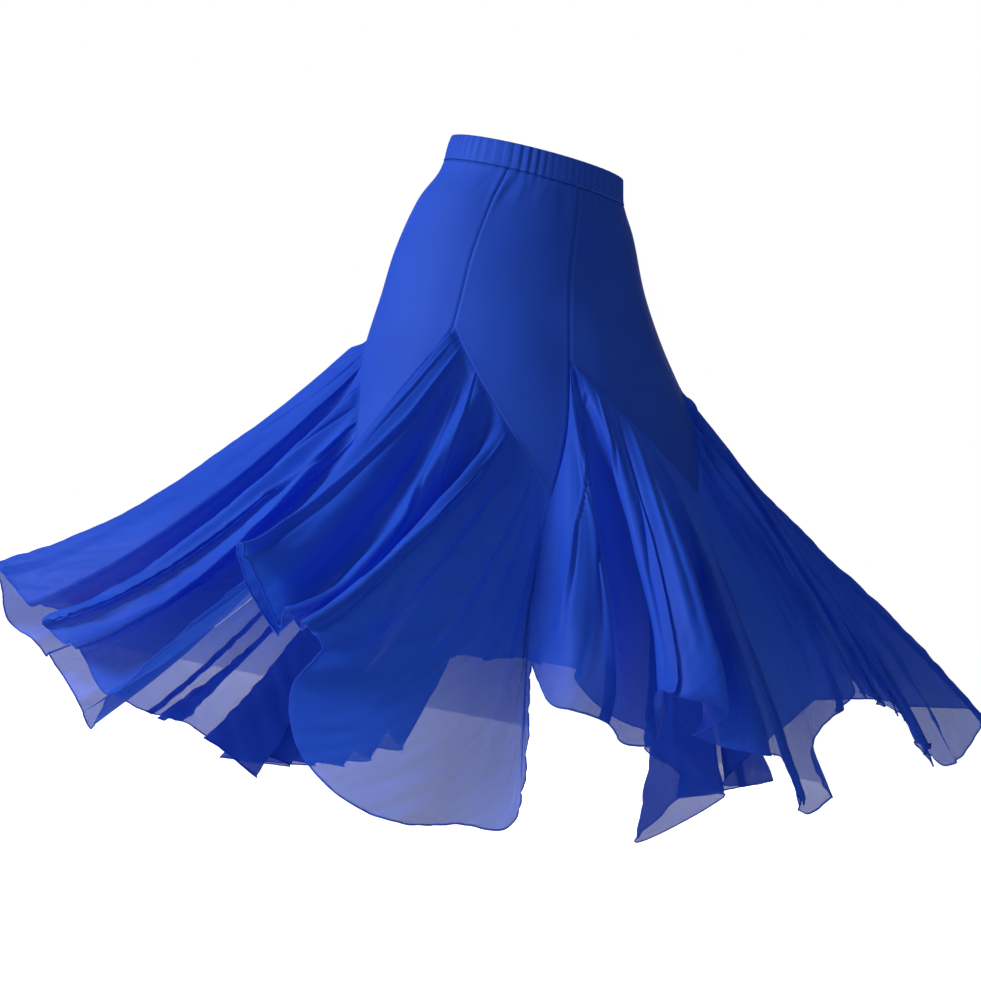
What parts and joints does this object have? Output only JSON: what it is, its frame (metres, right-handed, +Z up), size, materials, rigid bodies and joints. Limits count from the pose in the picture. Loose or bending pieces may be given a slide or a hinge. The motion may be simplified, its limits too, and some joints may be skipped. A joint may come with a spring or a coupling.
{
  "type": "latin dance skirt",
  "caption": "Worn latin practice skirt with an elastic waistband, a smooth pointed hip yoke and full swirling godets.",
  "frame": {"origin": "centre of the waist opening at the waistband's top edge, where the wearer holds the skirt", "axes": "+Z up along the waist axis, -Y out of the skirt's front, +X towards the viewer's right from the front"},
  "size_m": [1.2717, 0.8996, 0.8687],
  "materials": {
    "knit": "smooth opaque stretch knit with a soft sheen",
    "mesh": "fine semi-sheer stretch mesh"
  },
  "bodies": {
    "root": {"waistband": "knit", "panel_side_front_left": "knit", "panel_centre_front": "knit", "panel_side_front_right": "knit", "panel_side_back_right": "knit", "panel_centre_back": "knit", "panel_side_back_left": "knit", "godet_left": "mesh", "godet_front_left": "mesh", "godet_front_right": "mesh", "godet_right": "mesh", "godet_back_right": "mesh", "godet_back_left": "mesh"}
  },
  "joints": []
}
